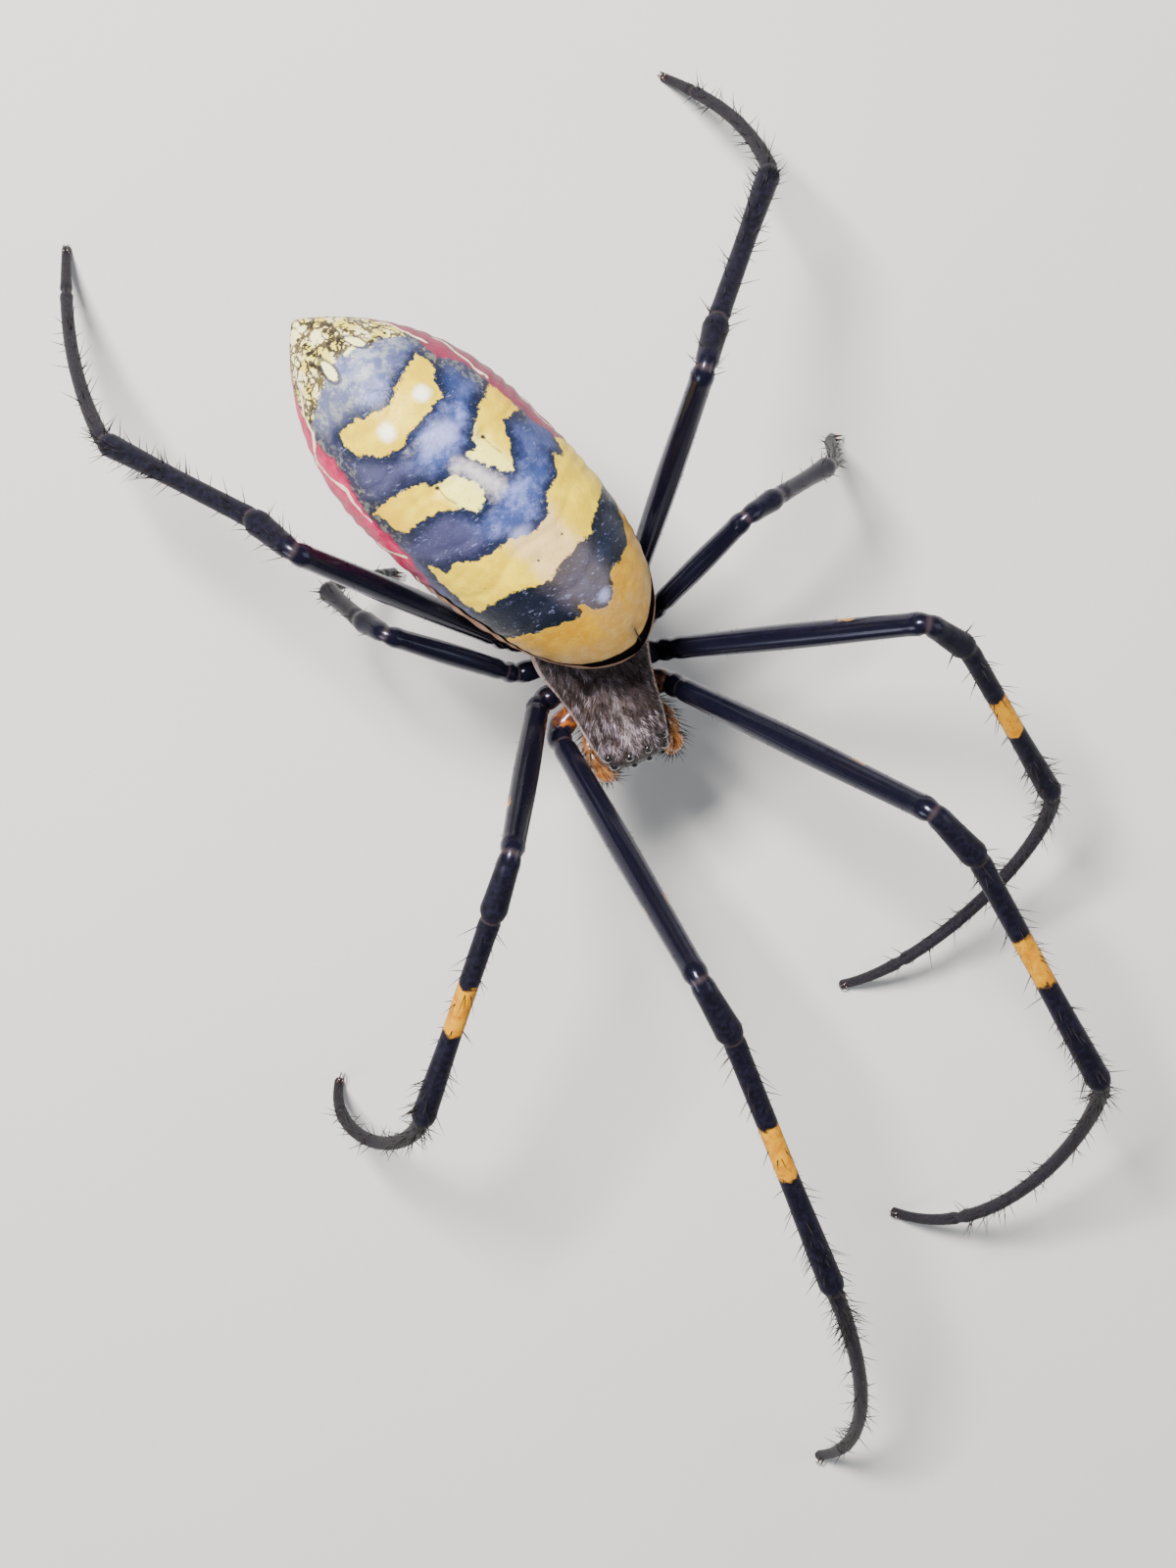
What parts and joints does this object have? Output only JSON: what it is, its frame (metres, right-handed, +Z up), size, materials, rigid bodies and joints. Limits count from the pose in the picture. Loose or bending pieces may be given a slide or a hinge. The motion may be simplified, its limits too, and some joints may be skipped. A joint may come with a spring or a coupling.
{
  "type": "golden silk orb weaver spider model",
  "caption": "Life-size still model of an adult female golden silk orb weaver, long legs spread and all feet on the floor, patterned oval abdomen raised over a small head part",
  "frame": {"origin": "centre of the bounding box in plan, on the floor under the feet", "axes": "+Z up, the head looks towards -Y, the spider's left side is +X"},
  "size_m": [0.0278, 0.0524, 0.0191],
  "materials": {
    "black_cuticle": "hard glossy black leg shell with a faint blue sheen",
    "foot_cuticle": "dark grey with fine silvery down",
    "carapace_down": "grey-brown shell under silvery down with dark spots",
    "abdomen_skin": "soft satin skin, yellow bands on blue-grey with red flanks",
    "eye_gloss": "clear polished black",
    "orange_cuticle": "satin orange shell of the feelers and leg roots"
  },
  "bodies": {
    "root": {"abdomen": "abdomen_skin", "carapace": "carapace_down", "chelicera_left": "black_cuticle", "chelicera_right": "black_cuticle", "eye_left_back_middle": "eye_gloss", "eye_left_back_side": "eye_gloss", "eye_left_front_middle": "eye_gloss", "eye_left_front_side": "eye_gloss", "eye_right_back_middle": "eye_gloss", "eye_right_back_side": "eye_gloss", "eye_right_front_middle": "eye_gloss", "eye_right_front_side": "eye_gloss", "fang_left": "black_cuticle", "fang_right": "black_cuticle", "leg_left_1_coxa": "orange_cuticle", "leg_left_1_femur": "black_cuticle", "leg_left_1_metatarsus": "foot_cuticle", "leg_left_1_patella": "black_cuticle", "leg_left_1_tibia": "black_cuticle", "leg_left_2_coxa": "orange_cuticle", "leg_left_2_femur": "black_cuticle", "leg_left_2_metatarsus": "foot_cuticle", "leg_left_2_patella": "black_cuticle", "leg_left_2_tibia": "black_cuticle", "leg_left_3_coxa": "orange_cuticle", "leg_left_3_femur": "black_cuticle", "leg_left_3_metatarsus": "foot_cuticle", "leg_left_3_patella": "black_cuticle", "leg_left_3_tibia": "black_cuticle", "leg_left_4_coxa": "orange_cuticle", "leg_left_4_femur": "black_cuticle", "leg_left_4_metatarsus": "foot_cuticle", "leg_left_4_patella": "black_cuticle", "leg_left_4_tibia": "black_cuticle", "leg_right_1_coxa": "orange_cuticle", "leg_right_1_femur": "black_cuticle", "leg_right_1_metatarsus": "foot_cuticle", "leg_right_1_patella": "black_cuticle", "leg_right_1_tibia": "black_cuticle", "leg_right_2_coxa": "orange_cuticle", "leg_right_2_femur": "black_cuticle", "leg_right_2_metatarsus": "foot_cuticle", "leg_right_2_patella": "black_cuticle", "leg_right_2_tibia": "black_cuticle", "leg_right_3_coxa": "orange_cuticle", "leg_right_3_femur": "black_cuticle", "leg_right_3_metatarsus": "foot_cuticle", "leg_right_3_patella": "black_cuticle", "leg_right_3_tibia": "black_cuticle", "leg_right_4_coxa": "orange_cuticle", "leg_right_4_femur": "black_cuticle", "leg_right_4_metatarsus": "foot_cuticle", "leg_right_4_patella": "black_cuticle", "leg_right_4_tibia": "black_cuticle", "pedicel": "black_cuticle", "pedipalp_left": "orange_cuticle", "pedipalp_right": "orange_cuticle", "spinnerets": "black_cuticle", "sternum": "black_cuticle"}
  },
  "joints": []
}
